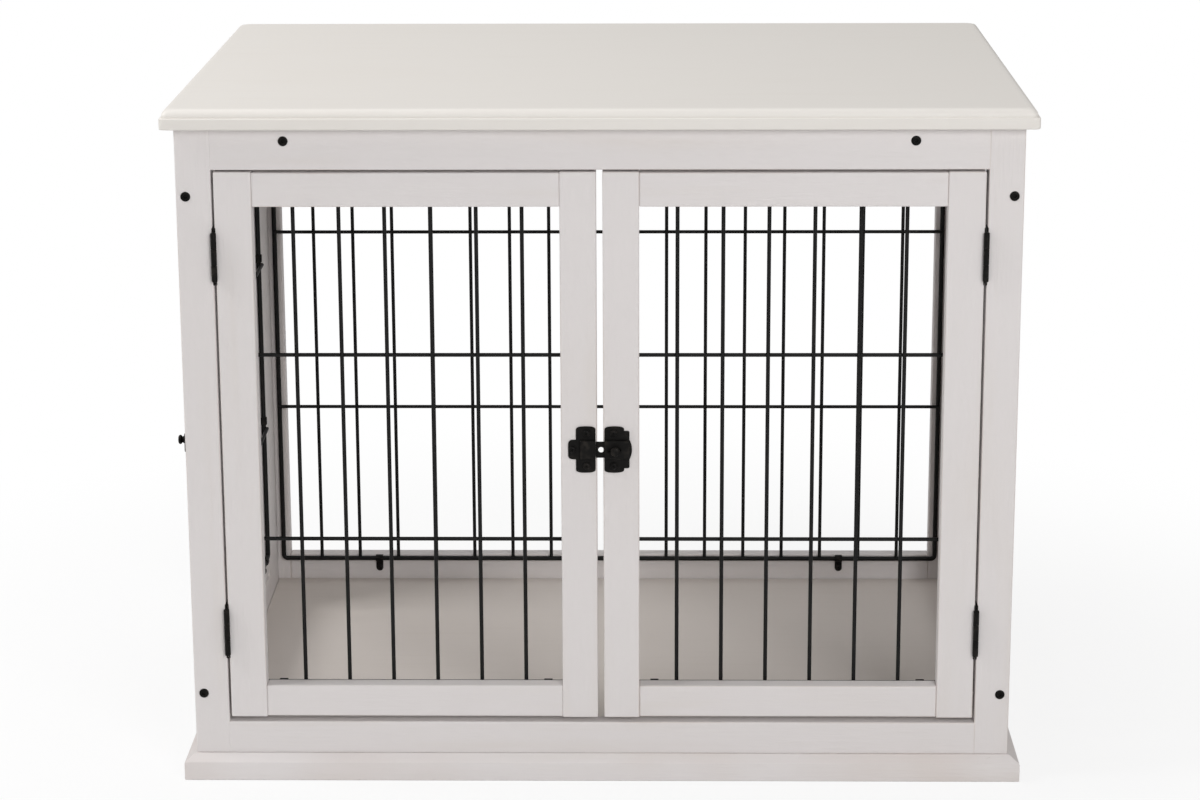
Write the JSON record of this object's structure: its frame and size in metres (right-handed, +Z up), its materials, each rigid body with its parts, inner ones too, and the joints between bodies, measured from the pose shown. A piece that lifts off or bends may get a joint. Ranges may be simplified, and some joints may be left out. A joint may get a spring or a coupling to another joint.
{
  "type": "dog crate end table",
  "caption": "Painted wooden dog crate with wire panels, double front doors, a side door, slide-bolt latches and a flat top that serves as an end table.",
  "frame": {"origin": "on the floor, under the middle of the table top", "axes": "+X to the right along the front, +Y from the double doors to the back, +Z up"},
  "size_m": [0.81, 0.58, 0.6565],
  "materials": {
    "painted_wood": "satin off-white paint over solid wood",
    "painted_board": "satin off-white paint over thin board",
    "black_wire": "satin black powder coat",
    "black_hardware": "satin black",
    "zinc_steel": "bright zinc plate"
  },
  "bodies": {
    "crate": {"barrel_nuts": "zinc_steel", "floor_panel": "painted_board", "frame_bolts": "black_hardware", "frame_hinge_leaves": "black_hardware", "frame_screws": "black_hardware", "frame_wire_clips": "black_hardware", "front_bottom_rail": "painted_wood", "front_stile_left": "painted_wood", "front_stile_right": "painted_wood", "front_top_rail": "painted_wood", "hinge_pins": "black_hardware", "left_side_bottom_rail": "painted_wood", "left_side_front_stile": "painted_wood", "left_side_rear_stile": "painted_wood", "left_side_top_rail": "painted_wood", "plinth_front": "painted_wood", "plinth_rear": "painted_wood", "plinth_sides": "painted_wood", "rear_bottom_rail": "painted_wood", "rear_stiles": "painted_wood", "rear_top_rail": "painted_wood", "rear_wire_panel": "black_wire", "right_side_bottom_rail": "painted_wood", "right_side_front_stile": "painted_wood", "right_side_rear_stile": "painted_wood", "right_side_top_rail": "painted_wood", "right_wire_panel": "black_wire", "side_latch_housing": "black_hardware", "table_top": "painted_wood", "top_bearers": "painted_wood", "wood_screws": "zinc_steel"},
    "left_door": {"latch_keeper": "black_hardware", "left_door_bottom_rail": "painted_wood", "left_door_hinge_leaves": "black_hardware", "left_door_hinge_stile": "painted_wood", "left_door_latch_stile": "painted_wood", "left_door_screws": "black_hardware", "left_door_top_rail": "painted_wood", "left_door_wire_clips": "black_hardware", "left_door_wire_panel": "black_wire"},
    "right_door": {"latch_housing": "black_hardware", "right_door_bottom_rail": "painted_wood", "right_door_hinge_leaves": "black_hardware", "right_door_hinge_stile": "painted_wood", "right_door_latch_stile": "painted_wood", "right_door_screws": "black_hardware", "right_door_top_rail": "painted_wood", "right_door_wire_clips": "black_hardware", "right_door_wire_panel": "black_wire"},
    "side_door": {"side_door_bottom_rail": "painted_wood", "side_door_hinge_leaves": "black_hardware", "side_door_hinge_stile": "painted_wood", "side_door_latch_stile": "painted_wood", "side_door_screws": "black_hardware", "side_door_top_rail": "painted_wood", "side_door_wire_clips": "black_hardware", "side_door_wire_panel": "black_wire", "side_latch_keeper": "black_hardware"},
    "front_latch_bolt": {"latch_bolt": "black_hardware"},
    "side_latch_bolt": {"side_latch_bolt": "black_hardware"}
  },
  "joints": [
    {"name": "left_door_hinge", "type": "hinge", "parent": "crate", "child": "left_door", "pos_m": [-0.359, -0.2811, 0.3285], "axis": [0, 0, -1], "range_deg": [0, 180]},
    {"name": "right_door_hinge", "type": "hinge", "parent": "crate", "child": "right_door", "pos_m": [0.359, -0.2811, 0.3285], "axis": [0, 0, 1], "range_deg": [0, 180]},
    {"name": "side_door_hinge", "type": "hinge", "parent": "crate", "child": "side_door", "pos_m": [-0.3961, 0.177, 0.3285], "axis": [0, 0, -1], "range_deg": [0, 180]},
    {"name": "front_latch_slide", "type": "slide", "parent": "right_door", "child": "front_latch_bolt", "axis": [1, 0, 0], "range_m": [-0.0065, 0.0035]},
    {"name": "side_latch_slide", "type": "slide", "parent": "crate", "child": "side_latch_bolt", "axis": [0, -1, 0], "range_m": [-0.0065, 0.0035]}
  ]
}
